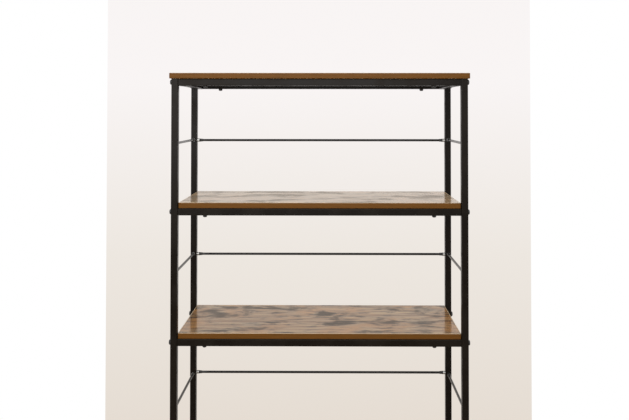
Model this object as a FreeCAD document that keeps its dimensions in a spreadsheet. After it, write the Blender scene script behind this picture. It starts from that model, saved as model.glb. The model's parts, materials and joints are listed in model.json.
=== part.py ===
import FreeCAD, Part
import math
import os
import Sketcher

# Open shelf unit: four tube posts, a bolted tube frame and a laminated board at each level,
# thin guard rods behind and beside each bay, and a levelling foot under each post.
# Millimetres. X runs along the shelves, the front faces -Y, Z is up and the floor is z = 0.

SIZES = {
    # Whole unit, over the outer faces of the posts
    "unit_width": 790,
    "unit_depth": 290,
    # Clear heights between a board and the rails above it, and under the lowest rails
    "upper_bay": 311.5,
    "lower_bay": 334.5,
    "floor_gap": 106.5,
    # Posts
    "post_side": 18,
    "post_wall": 1.2,
    "post_corner": 2,
    "post_inner_corner": 0.8,
    # Rails of the level frames
    "rail_side": 19,
    "rail_wall": 1.2,
    "rail_corner": 2,
    "rail_inner_corner": 0.8,
    "rail_setback": 3,
    # Boards and the band round their edges
    "board_thickness": 15,
    "board_setback": 5,
    "board_end_gap": 1,
    "top_overhang": 5,
    "band_thickness": 2,
    "band_corner_share": 1.5,
    "band_arris_share": 0.75,
    # Guard rods, with a spacer and a flared collar at each end; the side rods lie a little off
    # the height of the rear ones
    "rod_diameter": 7,
    "upper_side_rod_rise": 1.5,
    "lower_side_rod_drop": 3,
    "rod_end_gap": 1,
    "spacer_wall": 1.45,
    "spacer_length": 7,
    "collar_wall": 1.2,
    "collar_tip_wall": 0.55,
    "collar_length": 10,
    "collar_rim": 1.5,
    # Bolts through the posts, and the threaded inserts that take them
    "bolt_diameter": 6,
    "bolt_head_diameter": 14,
    "bolt_head_height": 4.4,
    "bolt_dome_share": 0.65,
    "bolt_grip": 14,
    "bolt_socket": 5,
    "bolt_socket_depth": 2.4,
    "insert_length": 18,
    # Screws that come up through the rails into the boards
    "screw_diameter": 4,
    "screw_head_diameter": 11.5,
    "screw_head_height": 5.6,
    "screw_dome_share": 0.6,
    "screw_cover": 4,
    "screw_inset": 53,
    "screw_edge": 9,
    "screw_recess": 4.2,
    "screw_recess_width": 1.1,
    "screw_recess_depth": 1.6,
    # Levelling feet and the plugs that hold them in the posts
    "foot_diameter": 22,
    "foot_neck_wall": 3,
    "foot_height": 12,
    "foot_rim": 4,
    "foot_chamfer": 1,
    "foot_socket_depth": 8,
    "stud_diameter": 8,
    "stud_reach": 28,
    "stud_chamfer": 1,
    "plug_flange": 2,
    "plug_length": 30,
    # Radial clearance of round fits, clearance of plugs in tubes, and depth left under a screw tip
    "running_clearance": 0.05,
    "plug_clearance": 0.1,
    "tip_clearance": 0.5,
}

PLACES = {
    "level_height": "Sizes.board_thickness + Sizes.rail_side",
    # Top face of each board; levels and bays are numbered from the top of the unit
    "board_top_4": "Sizes.floor_gap + level_height",
    "board_top_3": "board_top_4 + Sizes.lower_bay + level_height",
    "board_top_2": "board_top_3 + Sizes.upper_bay + level_height",
    "board_top_1": "board_top_2 + Sizes.upper_bay + level_height",
    # Rear rods lie half way up each bay, and all rod ends stop short of the rods that come into
    # the same post from the other side
    "rod_height_1": "board_top_2 + Sizes.upper_bay / 2",
    "rod_height_2": "board_top_3 + Sizes.upper_bay / 2",
    "rod_height_3": "board_top_4 + Sizes.lower_bay / 2",
    "side_rod_height_1": "rod_height_1 + Sizes.upper_side_rod_rise",
    "side_rod_height_2": "rod_height_2 + Sizes.upper_side_rod_rise",
    "side_rod_height_3": "rod_height_3 - Sizes.lower_side_rod_drop",
    "rod_insertion": "(Sizes.post_side - Sizes.rod_diameter) / 2 - Sizes.rod_end_gap",
    # Posts
    "post_x": "(Sizes.unit_width - Sizes.post_side) / 2",
    "post_y": "(Sizes.unit_depth - Sizes.post_side) / 2",
    "post_foot": "Sizes.foot_height + Sizes.plug_flange",
    "post_length": "board_top_1 - Sizes.board_thickness - post_foot",
    "post_inner_x": "Sizes.unit_width / 2 - Sizes.post_side",
    "post_inner_y": "Sizes.unit_depth / 2 - Sizes.post_side",
    # Level frames fill the width between the posts and lie a little behind the posts' outer faces
    "rail_x": "post_inner_x - Sizes.rail_side / 2",
    "rail_y": "(Sizes.unit_depth - Sizes.rail_side) / 2 - Sizes.rail_setback",
    "long_rail": "2 * post_inner_x",
    "short_rail": "2 * rail_y - Sizes.rail_side",
    # Boards
    "shelf_length": "2 * (post_inner_x - Sizes.board_end_gap)",
    "shelf_depth": "Sizes.unit_depth - 2 * Sizes.board_setback",
    "top_length": "Sizes.unit_width + 2 * Sizes.top_overhang",
    "top_depth": "Sizes.unit_depth + 2 * Sizes.top_overhang",
    # Screws go through the long rails, clear of the inserts in them, and end inside the boards
    "screw_x": "post_inner_x - Sizes.insert_length - Sizes.screw_inset",
    "screw_y": "shelf_depth / 2 - Sizes.screw_edge",
    "screw_bite": "Sizes.board_thickness - Sizes.screw_cover",
    # Holes that pieces pass through
    "bolt_hole": "Sizes.bolt_diameter + 2 * Sizes.running_clearance",
    "screw_hole": "Sizes.screw_diameter + 2 * Sizes.running_clearance",
    "rod_hole": "Sizes.rod_diameter + 2 * Sizes.running_clearance",
    "stud_hole": "Sizes.stud_diameter + 2 * Sizes.running_clearance",
    "plug_side": "Sizes.post_side - 2 * (Sizes.post_wall + Sizes.plug_clearance)",
    "insert_side": "Sizes.rail_side - 2 * (Sizes.rail_wall + Sizes.plug_clearance)",
}

LEVELS = ("1", "2", "3", "4")
BAYS = ("1", "2", "3")
SIDES = {"left": -1, "right": 1}
ENDS = {"front": -1, "rear": 1}
HEXAGON_CORNER_COUNT = 6

NEAR = 1e-6

UP = FreeCAD.Vector(0, 0, 1)
UPRIGHT = FreeCAD.Rotation()
UPSIDE_DOWN = FreeCAD.Rotation(FreeCAD.Vector(1, 0, 0), 180)
ALONG_X = FreeCAD.Rotation(UP, FreeCAD.Vector(1, 0, 0))
AGAINST_X = FreeCAD.Rotation(UP, FreeCAD.Vector(-1, 0, 0))
ALONG_Y = FreeCAD.Rotation(UP, FreeCAD.Vector(0, 1, 0))
AGAINST_Y = FreeCAD.Rotation(UP, FreeCAD.Vector(0, -1, 0))

doc = FreeCAD.newDocument("shelf_unit")
subparts = []
cuts = []


def fill_sheet(name, cells):
    """Writes a sheet with one named cell per row."""
    sheet = doc.addObject("Spreadsheet::Sheet", name)
    for row, (alias, text) in enumerate(cells.items(), start=1):
        sheet.set(f"A{row}", alias)
        sheet.set(f"B{row}", text)
        sheet.setAlias(f"B{row}", alias)
    doc.recompute()
    return sheet


sizes = fill_sheet("Sizes", {alias: str(size) for alias, size in SIZES.items()})
places = fill_sheet("Places", {alias: f"={formula}" for alias, formula in PLACES.items()})


def number(expression):
    """The present value of an expression on the sheets."""
    return float(places.evalExpression(expression))


def place(piece, x, y, z, turn=UPRIGHT):
    """Turns a piece and ties its position to three expressions."""
    piece.Placement = FreeCAD.Placement(FreeCAD.Vector(), turn)
    for axis, expression in zip("xyz", (x, y, z)):
        piece.setExpression(f"Placement.Base.{axis}", expression)


def new_body(label, is_subpart=True):
    """An empty body; a body that is no sub-part is a pattern for a group of like pieces."""
    body = doc.addObject("PartDesign::Body", label)
    body.Label = label
    if is_subpart:
        subparts.append(body)
    return body


def sketch_on(body, role, height="0"):
    """A sketch on one of the body's own planes, lifted off it by an expression."""
    sketch = body.newObject("Sketcher::SketchObject", f"{body.Name}_sketch")
    plane = next(feature for feature in body.Origin.OriginFeatures if feature.Role == role)
    sketch.AttachmentSupport = [(plane, "")]
    sketch.MapMode = "FlatFace"
    sketch.setExpression("AttachmentOffset.Base.z", height)
    return sketch


def pin_point(sketch, geometry, point, x, y):
    """Ties a point of the sketch to expressions for its two coordinates."""
    for kind, axis, expression in (("DistanceX", -2, x), ("DistanceY", -1, y)):
        if expression == "0":
            sketch.addConstraint(Sketcher.Constraint("PointOnObject", geometry, point, axis))
            continue
        value = number(expression)
        index = sketch.addConstraint(Sketcher.Constraint(kind, -1, 1, geometry, point, value))
        sketch.setExpression(f"Constraints[{index}]", expression)


def flare(start, end):
    """The arc from start to end that runs out parallel to the axis at end."""
    rise = start.x - end.x
    run = end.y - start.y
    radius = (rise ** 2 + run ** 2) / (2 * rise)
    centre = FreeCAD.Vector(end.x + radius, end.y, 0)
    middle = centre + ((start + end) / 2 - centre).normalize() * radius
    return Part.Arc(start, middle, end)


def outline(sketch, corners, flare_to=None):
    """A closed outline through corners given as expressions; one side may be a flare."""
    points = [FreeCAD.Vector(number(x), number(y), 0) for x, y in corners]
    sides = []
    for index, start in enumerate(points):
        following = (index + 1) % len(points)
        if following == flare_to:
            geometry = sketch.addGeometry(flare(start, points[following]), False)
            ends = (1, 2) if sketch.getPoint(geometry, 1).isEqual(start, NEAR) else (2, 1)
            end_height = corners[following][1]
            centre = sketch.addConstraint(
                Sketcher.Constraint("DistanceY", -1, 1, geometry, 3, number(end_height)))
            sketch.setExpression(f"Constraints[{centre}]", end_height)
        else:
            geometry = sketch.addGeometry(Part.LineSegment(start, points[following]), False)
            ends = (1, 2)
        sides.append((geometry, *ends))
    for (before, _, end_point), (after, start_point, _) in zip(sides, sides[1:] + sides[:1]):
        sketch.addConstraint(Sketcher.Constraint("Coincident", before, end_point, after, start_point))
    for (geometry, start_point, _), (x, y) in zip(sides, corners):
        pin_point(sketch, geometry, start_point, x, y)


def rectangle(sketch, width, height):
    """A rectangle centred on the sketch's origin."""
    left, right = f"-({width}) / 2", f"({width}) / 2"
    low, high = f"-({height}) / 2", f"({height}) / 2"
    outline(sketch, [(left, low), (right, low), (right, high), (left, high)])


def circles(sketch, diameter, centres):
    """Equal circles at centres given as expressions."""
    for x, y in centres:
        centre = FreeCAD.Vector(number(x), number(y), 0)
        geometry = sketch.addGeometry(Part.Circle(centre, UP, number(diameter) / 2), False)
        pin_point(sketch, geometry, 3, x, y)
        index = sketch.addConstraint(Sketcher.Constraint("Diameter", geometry, number(diameter)))
        sketch.setExpression(f"Constraints[{index}]", diameter)


def pad(body, sketch, length, downward=False):
    feature = body.newObject("PartDesign::Pad", f"{body.Name}_pad")
    feature.Profile = sketch
    feature.Reversed = downward
    feature.setExpression("Length", length)
    return feature


def pocket(body, sketch, length=None, outward=False):
    """Cuts the sketch into the body, or right through it both ways where no length is given."""
    feature = body.newObject("PartDesign::Pocket", f"{body.Name}_pocket")
    feature.Profile = sketch
    feature.Reversed = outward
    if length is None:
        feature.Type = "ThroughAll"
        feature.SideType = "Symmetric"
    else:
        feature.setExpression("Length", length)
    cuts.append(feature)
    return feature


def revolve(body, sketch):
    feature = body.newObject("PartDesign::Revolution", f"{body.Name}_revolution")
    feature.Profile = sketch
    feature.ReferenceAxis = (sketch, ["V_Axis"])
    return feature


def dress(body, kind, size_name, size, chosen):
    """A fillet or chamfer on those edges of the body so far that chosen picks."""
    doc.recompute()
    base = body.Tip
    names = [f"Edge{i}" for i, edge in enumerate(base.Shape.Edges, start=1) if chosen(edge)]
    feature = body.newObject(f"PartDesign::{kind}", f"{body.Name}_{kind.lower()}")
    feature.Base = (base, names)
    feature.setExpression(size_name, size)
    return feature


def fillet(body, radius, chosen):
    return dress(body, "Fillet", "Radius", radius, chosen)


def chamfer(body, size, chosen):
    return dress(body, "Chamfer", "Size", size, chosen)


def runs_along_axis(edge):
    """True for an edge parallel to the body's own Z axis."""
    span = edge.BoundBox
    return span.ZLength > span.XLength + span.YLength


def lies_at(edge, height):
    """True for an edge that lies level at the given height."""
    span = edge.BoundBox
    return max(abs(span.ZMin - height), abs(span.ZMax - height)) < NEAR


def reach(edge):
    """How far an edge lies from the body's Z axis, along X or Y."""
    span = edge.BoundBox
    return max(abs(span.XMin), abs(span.XMax), abs(span.YMin), abs(span.YMax))


def square_tube(label, family, length):
    """A square tube with rounded corners, standing on the body's own XY plane."""
    body = new_body(label)
    side, wall = f"Sizes.{family}_side", f"Sizes.{family}_wall"
    section = sketch_on(body, "XY_Plane")
    rectangle(section, side, side)
    rectangle(section, f"{side} - 2 * {wall}", f"{side} - 2 * {wall}")
    pad(body, section, length)
    inner_reach = number(f"{side} / 2 - {wall} / 2")
    fillet(body, f"Sizes.{family}_corner",
           lambda edge: runs_along_axis(edge) and reach(edge) > inner_reach)
    inner_corner = number(f"{side} / 2 - {wall}")
    fillet(body, f"Sizes.{family}_inner_corner",
           lambda edge: runs_along_axis(edge) and math.isclose(reach(edge), inner_corner))
    return body


def rail_height(level):
    """Half way up a level's rails, where the bolts pass too."""
    return f"Places.board_top_{level} - Sizes.board_thickness - Sizes.rail_side / 2"


def post_spot(end, side):
    """Where the axis of a post stands on the floor."""
    return f"{SIDES[side]} * Places.post_x", f"{ENDS[end]} * Places.post_y"


def post(end, side):
    """A corner post with its bolt holes and the holes that take the rod ends."""
    body = square_tube(f"post_{end}_{side}", "post", "Places.post_length")
    bolt_holes = sketch_on(body, "YZ_Plane")
    circles(bolt_holes, "Places.bolt_hole", [("0", f"{rail_height(k)} - Places.post_foot") for k in LEVELS])
    pocket(body, bolt_holes)
    side_rod_holes = sketch_on(body, "XZ_Plane")
    circles(side_rod_holes, "Places.rod_hole",
            [("0", f"Places.side_rod_height_{k} - Places.post_foot") for k in BAYS])
    pocket(body, side_rod_holes, "Sizes.post_side", outward=end == "rear")
    if end == "rear":
        rear_rod_holes = sketch_on(body, "YZ_Plane")
        circles(rear_rod_holes, "Places.rod_hole",
                [("0", f"Places.rod_height_{k} - Places.post_foot") for k in BAYS])
        pocket(body, rear_rod_holes, "Sizes.post_side", outward=side == "left")
    place(body, *post_spot(end, side), "Places.post_foot")


def long_rail(end, level):
    """A rail along X with two holes for the board screws."""
    body = square_tube(f"rail_{end}_{level}", "rail", "Places.long_rail")
    off_centre = f"{ENDS[end]} * (Places.screw_y - Places.rail_y)"
    holes = sketch_on(body, "YZ_Plane")
    circles(holes, "Places.screw_hole",
            [(off_centre, f"Places.long_rail / 2 + {sign} * Places.screw_x") for sign in SIDES.values()])
    pocket(body, holes)
    place(body, "-Places.post_inner_x", f"{ENDS[end]} * Places.rail_y", rail_height(level), ALONG_X)


def short_rail(side, level):
    """A rail along Y, welded between the front and rear rails."""
    body = square_tube(f"rail_{side}_{level}", "rail", "Places.short_rail")
    place(body, f"{SIDES[side]} * Places.rail_x", "-Places.short_rail / 2", rail_height(level), ALONG_Y)


def board_size(level):
    family = "top" if level == LEVELS[0] else "shelf"
    return f"Places.{family}_length", f"Places.{family}_depth"


def board(level):
    """A board's core, with blind holes underneath for its screws."""
    length, depth = board_size(level)
    body = new_body(f"shelf_board_{level}")
    face = sketch_on(body, "XY_Plane")
    rectangle(face, f"{length} - 2 * Sizes.band_thickness", f"{depth} - 2 * Sizes.band_thickness")
    pad(body, face, "Sizes.board_thickness")
    holes = sketch_on(body, "XY_Plane")
    circles(holes, "Places.screw_hole",
            [(f"{side} * Places.screw_x", f"{end} * Places.screw_y")
             for side in SIDES.values() for end in ENDS.values()])
    pocket(body, holes, "Places.screw_bite + Sizes.tip_clearance", outward=True)
    place(body, "0", "0", f"Places.board_top_{level} - Sizes.board_thickness")


def edge_band(level):
    """The band glued round a board's four edges, with rounded corners and arrises."""
    length, depth = board_size(level)
    body = new_body(f"edge_band_{level}")
    ring = sketch_on(body, "XY_Plane")
    rectangle(ring, length, depth)
    rectangle(ring, f"{length} - 2 * Sizes.band_thickness", f"{depth} - 2 * Sizes.band_thickness")
    pad(body, ring, "Sizes.board_thickness")
    half_length = number(f"({length}) / 2")
    fillet(body, "Sizes.band_corner_share * Sizes.band_thickness",
           lambda edge: runs_along_axis(edge) and math.isclose(reach(edge), half_length))
    inner_x = number(f"{length} / 2 - Sizes.band_thickness")
    inner_y = number(f"{depth} / 2 - Sizes.band_thickness")
    faces = (0, number("Sizes.board_thickness"))

    def outer_arris(edge):
        centre = edge.BoundBox.Center
        outside = max(abs(centre.x) - inner_x, abs(centre.y) - inner_y) > NEAR
        return outside and any(lies_at(edge, height) for height in faces)

    fillet(body, "Sizes.band_arris_share * Sizes.band_thickness", outer_arris)
    place(body, "0", "0", f"Places.board_top_{level} - Sizes.board_thickness")


def rod(label, span):
    """A plain rod as long as its span plus what goes into the posts."""
    body = new_body(label)
    section = sketch_on(body, "XY_Plane")
    circles(section, "Sizes.rod_diameter", [("0", "0")])
    pad(body, section, f"{span} + 2 * Places.rod_insertion")
    return body


def rear_rod(bay):
    body = rod(f"rod_rear_{bay}", "2 * Places.post_inner_x")
    place(body, "-Places.post_inner_x - Places.rod_insertion", "Places.post_y",
          f"Places.rod_height_{bay}", ALONG_X)


def side_rod(side, bay):
    body = rod(f"rod_{side}_{bay}", "2 * Places.post_inner_y")
    place(body, f"{SIDES[side]} * Places.post_x", "-Places.post_inner_y - Places.rod_insertion",
          f"Places.side_rod_height_{bay}", ALONG_Y)


def group(label, pattern, spots):
    """One node of like pieces: a linked copy of the pattern at each spot."""
    copies = []
    for x, y, z, turn in spots:
        copy = doc.addObject("App::Link", f"{label}_copy")
        copy.LinkedObject = pattern
        place(copy, x, y, z, turn)
        copies.append(copy)
    node = doc.addObject("Part::Compound", label)
    node.Label = label
    node.Links = copies
    subparts.append(node)


def ring_pattern(name, profile, flare_to=None):
    """A turned ring standing on its wider end."""
    body = new_body(name, is_subpart=False)
    section = sketch_on(body, "XZ_Plane")
    outline(section, profile, flare_to)
    revolve(body, section)
    return body


def spacer_pattern():
    bore, length = "Places.rod_hole / 2", "Sizes.spacer_length"
    outside = f"{bore} + Sizes.spacer_wall"
    return ring_pattern("spacer_pattern", [(bore, "0"), (outside, "0"), (outside, length), (bore, length)])


def collar_pattern():
    bore, rim, length = "Places.rod_hole / 2", "Sizes.collar_rim", "Sizes.collar_length"
    outside, tip = f"{bore} + Sizes.collar_wall", f"{bore} + Sizes.collar_tip_wall"
    profile = [(bore, "0"), (outside, "0"), (outside, rim), (tip, length), (bore, length)]
    return ring_pattern("collar_pattern", profile, flare_to=profile.index((tip, length)))


def rod_end_spots(offset):
    """Where a ring sits on each rod end, a given distance off the post, and which way it faces."""
    spots = []
    for bay in BAYS:
        for sign, turn in ((-1, ALONG_X), (1, AGAINST_X)):
            inner_x = f"{sign} * (Places.post_inner_x - {offset})"
            spots.append((inner_x, "Places.post_y", f"Places.rod_height_{bay}", turn))
        for side in SIDES.values():
            for sign, turn in ((-1, ALONG_Y), (1, AGAINST_Y)):
                inner_y = f"{sign} * (Places.post_inner_y - {offset})"
                spots.append((f"{side} * Places.post_x", inner_y, f"Places.side_rod_height_{bay}", turn))
    return spots


def headed_pattern(name, family, shank):
    """A domed head above the XY plane and a plain shank below it."""
    body = new_body(name, is_subpart=False)
    head = sketch_on(body, "XY_Plane")
    circles(head, f"Sizes.{family}_head_diameter", [("0", "0")])
    pad(body, head, f"Sizes.{family}_head_height")
    top = number(f"Sizes.{family}_head_height")
    fillet(body, f"Sizes.{family}_dome_share * Sizes.{family}_head_height", lambda edge: lies_at(edge, top))
    stem = sketch_on(body, "XY_Plane")
    circles(stem, f"Sizes.{family}_diameter", [("0", "0")])
    pad(body, stem, shank, downward=True)
    return body


def bolt_pattern():
    """A button-head bolt with a hexagon socket."""
    body = headed_pattern("bolt_pattern", "bolt", "Sizes.post_side + Sizes.bolt_grip")
    socket = sketch_on(body, "XY_Plane", "Sizes.bolt_head_height")
    corners = []
    for index in range(HEXAGON_CORNER_COUNT):
        turn = 2 * math.pi * index / HEXAGON_CORNER_COUNT
        shares = (math.cos(turn), math.sin(turn))
        corners.append(tuple(f"Sizes.bolt_socket / sqrt(3) * ({share:.9f})" for share in shares))
    outline(socket, corners)
    pocket(body, socket, "Sizes.bolt_socket_depth")
    return body


def screw_pattern():
    """A domed screw with a cross recess."""
    body = headed_pattern("screw_pattern", "screw", "Sizes.rail_side + Places.screw_bite")
    recess = sketch_on(body, "XY_Plane", "Sizes.screw_head_height")
    arm, edge = "Sizes.screw_recess / 2", "Sizes.screw_recess_width / 2"
    quarter = [(arm, edge), (edge, edge), (edge, arm)]
    second = [(f"-({y})", x) for x, y in quarter]
    third = [(f"-({x})", f"-({y})") for x, y in quarter]
    fourth = [(y, f"-({x})") for x, y in quarter]
    outline(recess, quarter + second + third + fourth)
    pocket(body, recess, "Sizes.screw_recess_depth")
    return body


def bolt_spots():
    """Bolt heads sit on the outer faces of the posts."""
    return [(f"{sign} * Sizes.unit_width / 2", f"{end} * Places.post_y", rail_height(level), turn)
            for level in LEVELS
            for sign, turn in ((-1, AGAINST_X), (1, ALONG_X))
            for end in ENDS.values()]


def screw_spots():
    """Screw heads sit under the front and rear rails."""
    return [(f"{side} * Places.screw_x", f"{end} * Places.screw_y",
             f"Places.board_top_{level} - Places.level_height", UPSIDE_DOWN)
            for level in LEVELS
            for side in SIDES.values()
            for end in ENDS.values()]


def insert_pattern():
    """A block in the end of a long rail, bored on the line of the post's bolt."""
    body = new_body("insert_pattern", is_subpart=False)
    section = sketch_on(body, "XY_Plane")
    rectangle(section, "Places.insert_side", "Places.insert_side")
    pad(body, section, "Sizes.insert_length")
    fillet(body, "Sizes.rail_inner_corner", runs_along_axis)
    bore = sketch_on(body, "XY_Plane")
    circles(bore, "Places.bolt_hole", [("0", "Places.rail_y - Places.post_y")])
    pocket(body, bore)
    return body


def insert_spots():
    """Both ends of every long rail; the rear ones are turned over to face their bolts."""
    turned_over = UPSIDE_DOWN.multiply(ALONG_X)
    return [(start, f"{end} * Places.rail_y", rail_height(level), turn)
            for level in LEVELS
            for end, turn in ((-1, ALONG_X), (1, turned_over))
            for start in ("-Places.post_inner_x", "Places.post_inner_x - Sizes.insert_length")]


def plug_pattern():
    """The plug in a post's lower end, with a flange under the tube and a bore for the foot's stud."""
    body = new_body("plug_pattern", is_subpart=False)
    flange = sketch_on(body, "XY_Plane")
    rectangle(flange, "Sizes.post_side", "Sizes.post_side")
    pad(body, flange, "Sizes.plug_flange")
    fillet(body, "Sizes.post_corner", runs_along_axis)
    stem = sketch_on(body, "XY_Plane")
    rectangle(stem, "Places.plug_side", "Places.plug_side")
    pad(body, stem, "Sizes.plug_flange + Sizes.plug_length")
    flange_top = number("Sizes.plug_flange")
    fillet(body, "Sizes.post_inner_corner",
           lambda edge: runs_along_axis(edge) and edge.BoundBox.ZMax > flange_top + NEAR)
    bore = sketch_on(body, "XY_Plane")
    circles(bore, "Places.stud_hole", [("0", "0")])
    pocket(body, bore)
    return body


def foot(end, side):
    """A levelling foot: a moulded pad and the steel stud that screws up into the post's plug."""
    base = new_body(f"foot_pad_{end}_{side}")
    outside, bevel, top = "Sizes.foot_diameter / 2", "Sizes.foot_chamfer", "Sizes.foot_height"
    socket, floor = "Places.stud_hole / 2", "Sizes.foot_height - Sizes.foot_socket_depth"
    neck = f"{socket} + Sizes.foot_neck_wall"
    profile = sketch_on(base, "XZ_Plane")
    outline(profile, [("0", "0"), (f"{outside} - {bevel}", "0"), (outside, bevel),
                      (outside, "Sizes.foot_rim"), (neck, top),
                      (socket, top), (socket, floor), ("0", floor)])
    revolve(base, profile)
    place(base, *post_spot(end, side), "0")
    stud = new_body(f"foot_stud_{end}_{side}")
    section = sketch_on(stud, "XY_Plane")
    circles(section, "Sizes.stud_diameter", [("0", "0")])
    pad(stud, section, "Sizes.foot_socket_depth + Sizes.stud_reach")
    tip = number("Sizes.foot_socket_depth + Sizes.stud_reach")
    chamfer(stud, "Sizes.stud_chamfer", lambda edge: lies_at(edge, tip))
    place(stud, *post_spot(end, side), floor)


def build():
    corners = [(end, side) for end in ENDS for side in SIDES]
    for end, side in corners:
        post(end, side)
        foot(end, side)
    for level in LEVELS:
        for end in ENDS:
            long_rail(end, level)
        for side in SIDES:
            short_rail(side, level)
        board(level)
        edge_band(level)
    for bay in BAYS:
        rear_rod(bay)
        for side in SIDES:
            side_rod(side, bay)
    group("rod_spacers", spacer_pattern(), rod_end_spots("0"))
    group("rod_collars", collar_pattern(), rod_end_spots("Sizes.spacer_length"))
    group("frame_bolts", bolt_pattern(), bolt_spots())
    group("rail_inserts", insert_pattern(), insert_spots())
    group("board_screws", screw_pattern(), screw_spots())
    plug_spots = [(*post_spot(end, side), "Sizes.foot_height", UPRIGHT) for end, side in corners]
    group("post_plugs", plug_pattern(), plug_spots)
    doc.recompute()


def check():
    """Stops at any object that failed, any cut that removed nothing and any bad solid."""
    for item in doc.Objects:
        if {"Invalid", "Error"} & set(item.State):
            raise RuntimeError(f"{item.Label} failed")
    for cut in cuts:
        if cut.Shape.Volume >= cut.BaseFeature.Shape.Volume:
            raise RuntimeError(f"{cut.Label} cuts nothing")
    for piece in subparts:
        if piece.Shape.isNull() or not piece.Shape.isValid() or not piece.Shape.Solids:
            raise RuntimeError(f"{piece.Label} has no valid solid")


def export():
    os.makedirs("parts", exist_ok=True)
    for piece in subparts:
        piece.Shape.exportStep(f"parts/{piece.Label}.step")
        span = piece.Shape.BoundBox
        print(f"{piece.Label}: {len(piece.Shape.Solids)} solids, "
              f"{span.XLength:.1f} x {span.YLength:.1f} x {span.ZLength:.1f} mm")


build()
check()
export()
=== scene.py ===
"""Dresses an open shelf unit: finishes for its frame, boards, rods and fittings, weld beads, moulded
feet on threaded studs, and a pale studio round it. Metres; X runs along the shelves, the front faces
-Y and Z is up."""

import json
import math

import bmesh
import bpy
from bpy.props import FloatProperty, FloatVectorProperty, IntProperty, PointerProperty
from bpy.types import Operator, Panel, PropertyGroup
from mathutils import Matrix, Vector


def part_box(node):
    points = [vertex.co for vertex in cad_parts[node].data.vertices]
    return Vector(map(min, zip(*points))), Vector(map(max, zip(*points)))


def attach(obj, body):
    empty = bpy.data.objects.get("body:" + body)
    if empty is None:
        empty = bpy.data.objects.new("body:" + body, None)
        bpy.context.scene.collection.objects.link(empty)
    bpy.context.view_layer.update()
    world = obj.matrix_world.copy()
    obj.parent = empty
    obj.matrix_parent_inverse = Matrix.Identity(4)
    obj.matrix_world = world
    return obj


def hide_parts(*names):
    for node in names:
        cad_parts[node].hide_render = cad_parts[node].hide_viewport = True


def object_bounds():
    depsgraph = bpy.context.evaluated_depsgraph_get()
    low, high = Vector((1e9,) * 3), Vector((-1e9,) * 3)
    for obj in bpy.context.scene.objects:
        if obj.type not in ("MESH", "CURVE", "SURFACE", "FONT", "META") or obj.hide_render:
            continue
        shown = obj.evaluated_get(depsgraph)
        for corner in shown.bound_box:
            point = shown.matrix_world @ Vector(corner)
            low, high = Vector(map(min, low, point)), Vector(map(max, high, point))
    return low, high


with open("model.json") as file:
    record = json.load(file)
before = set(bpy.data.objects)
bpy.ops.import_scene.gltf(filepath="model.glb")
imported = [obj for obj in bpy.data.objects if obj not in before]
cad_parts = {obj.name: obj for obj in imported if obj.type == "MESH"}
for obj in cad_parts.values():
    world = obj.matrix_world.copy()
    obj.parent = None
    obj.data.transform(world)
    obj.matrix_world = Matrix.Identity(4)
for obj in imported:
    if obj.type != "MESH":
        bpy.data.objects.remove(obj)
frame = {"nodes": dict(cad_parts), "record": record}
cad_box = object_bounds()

bl_info = {
    "name": "Open shelf unit",
    "version": (1, 0, 0),
    "blender": (4, 5, 0),
    "location": "View3D > Sidebar > Shelf unit",
    "description": "Finishes, weld beads, levelling feet and a pale studio for an open shelf unit",
    "category": "Object",
}

LEVELS = (1, 2, 3, 4)
ENDS = ("front", "rear")
SIDES = ("left", "right")
CORNERS = [(end, side) for end in ENDS for side in SIDES]
SMOOTH_ANGLE = math.radians(35)
NEAR = 1e-6

# The photograph's frame, where the lens axis meets it, and its focal length, in pixels
IMAGE_SIZE = (629, 420)
LENS_AXIS = (326.28, 98.84)
FOCAL_LENGTH = 712.8
# Width of the camera's sensor, in millimetres
SENSOR_WIDTH = 36

# Least Z of the normal of a face that looks up
UPWARD = 0.5
# Turns of thread past a stud's two ends, which are cut off
SPARE_TURNS = 2

# Middle of a noise, and of a mark that fades between 0 and 1
MIDDLE = 0.5
# Values of a noise between which each mark fades in
COAT_PATCHES = (0.38, 0.68)
ROD_LINES = (0.2, 0.34)
RINGS = (0.32, 0.66)
FLUSHES = (0.42, 0.62)
WEATHERED = (0.5, 0.66)
SMUDGES = (0.41, 0.60)
BURNS = (0.49, 0.67)
DARK_STREAKS = (0.50, 0.68)
DARK_FIBRES = (0.52, 0.75)
CRACKED_PARTS = (0.5, 0.6)
BAND_STREAKS = (0.42, 0.72)
MOULDED_GRAIN = (0.35, 0.65)
RUBBED_SPOTS = (0.56, 0.74)
ZINC_FOG = (0.4, 0.66)
# Distances from the middle of a crack or a knot between which it fades out
CRACKS = (0, 0.014)
KNOTS = (0.03, 0.16)
# Z of the normal between which the painted highlight on the band's upper edge begins
EDGE_HIGHLIGHT = (0.45, 0.75)
# Z and Y of a direction between which the room grows brighter
ROOM_ABOVE = (-0.1, 0.8)
ROOM_BEHIND = (0.1, 0.7)


# Settings that a user would change

def length(name, default, description):
    return FloatProperty(name=name, description=description, default=default, min=0, precision=5,
                         unit="LENGTH")


def share(name, default, description):
    return FloatProperty(name=name, description=description, default=default, min=0, max=1,
                         subtype="FACTOR")


def colour(name, default, description):
    return FloatVectorProperty(name=name, description=description, default=default, min=0, max=1,
                               subtype="COLOR")


class ShelfCoat(PropertyGroup):
    """Powder coat on the posts, rails and welds"""
    black: colour("Black", (0.0062, 0.0036, 0.0016), "Colour of the coat")
    bloom: colour("Bloom", (0.0100, 0.0068, 0.0040), "Greyer black where the coat lies thin")
    cloud: length("Cloud", 0.06, "Size of the soft patches between the two blacks")
    roughness: share("Roughness", 0.34, "Mean roughness of the coat")
    patch_dulling: share("Patch dulling", 0.16, "How much rougher the greyer patches are")
    pimple_dulling: share("Pimple dulling", 0.06, "How much rougher the bumps of the texture are")
    gloss: share("Gloss", 0.13, "Strength of the reflections in the coat")
    pimple: length("Pimple", 0.0011, "Distance between the bumps of the coat's fine texture")
    relief: length("Relief", 0.00004, "Height of those bumps")


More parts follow.
